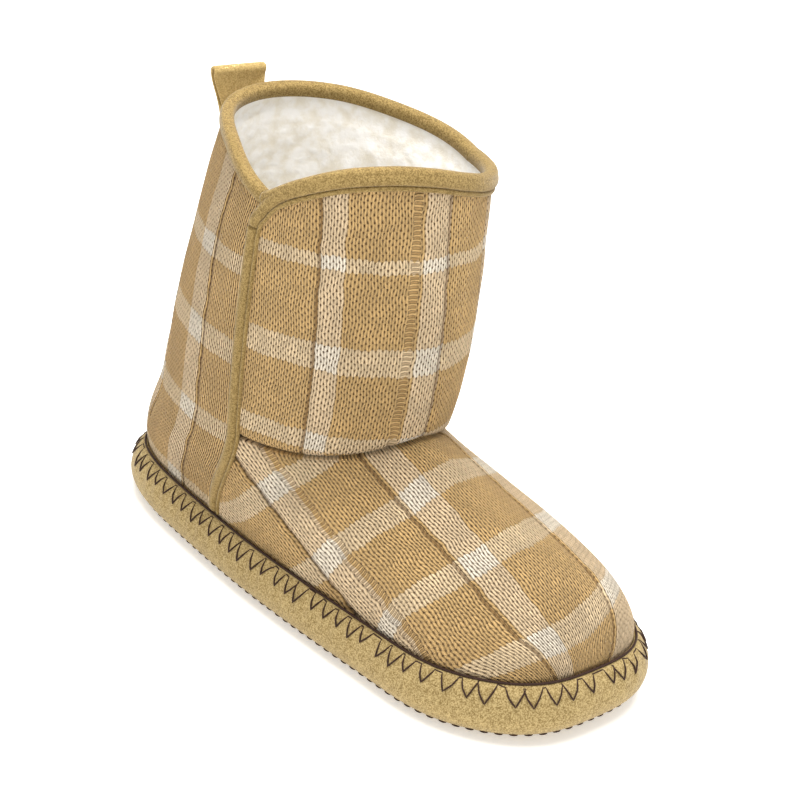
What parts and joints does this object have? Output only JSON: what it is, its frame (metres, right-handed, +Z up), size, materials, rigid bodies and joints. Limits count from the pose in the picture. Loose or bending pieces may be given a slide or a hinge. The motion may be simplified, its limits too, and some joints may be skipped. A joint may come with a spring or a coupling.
{
  "type": "slipper boot",
  "caption": "Soft slipper boot for the right foot: plaid knit upper with a fleece lining, tape-bound notched collar, side strips, a pull loop and a padded sole.",
  "frame": {"origin": "on the floor under the middle of the shoe's bounding box", "axes": "+X towards the toe, +Y towards the inner side of the foot, +Z up"},
  "size_m": [0.2682, 0.1074, 0.1969],
  "materials": {
    "sole_suede": "matt brushed microfibre",
    "tape_suede": "matt brushed microfibre",
    "knit": "plain knit with pale plaid stripes",
    "fleece": "soft cream pile"
  },
  "bodies": {
    "root": {"sole": "sole_suede", "insole": "fleece", "upper": "knit", "collar_binding_front": "tape_suede", "collar_binding_back": "tape_suede", "side_strip_outer": "tape_suede", "side_strip_inner": "tape_suede", "pull_loop": "tape_suede"}
  },
  "joints": []
}
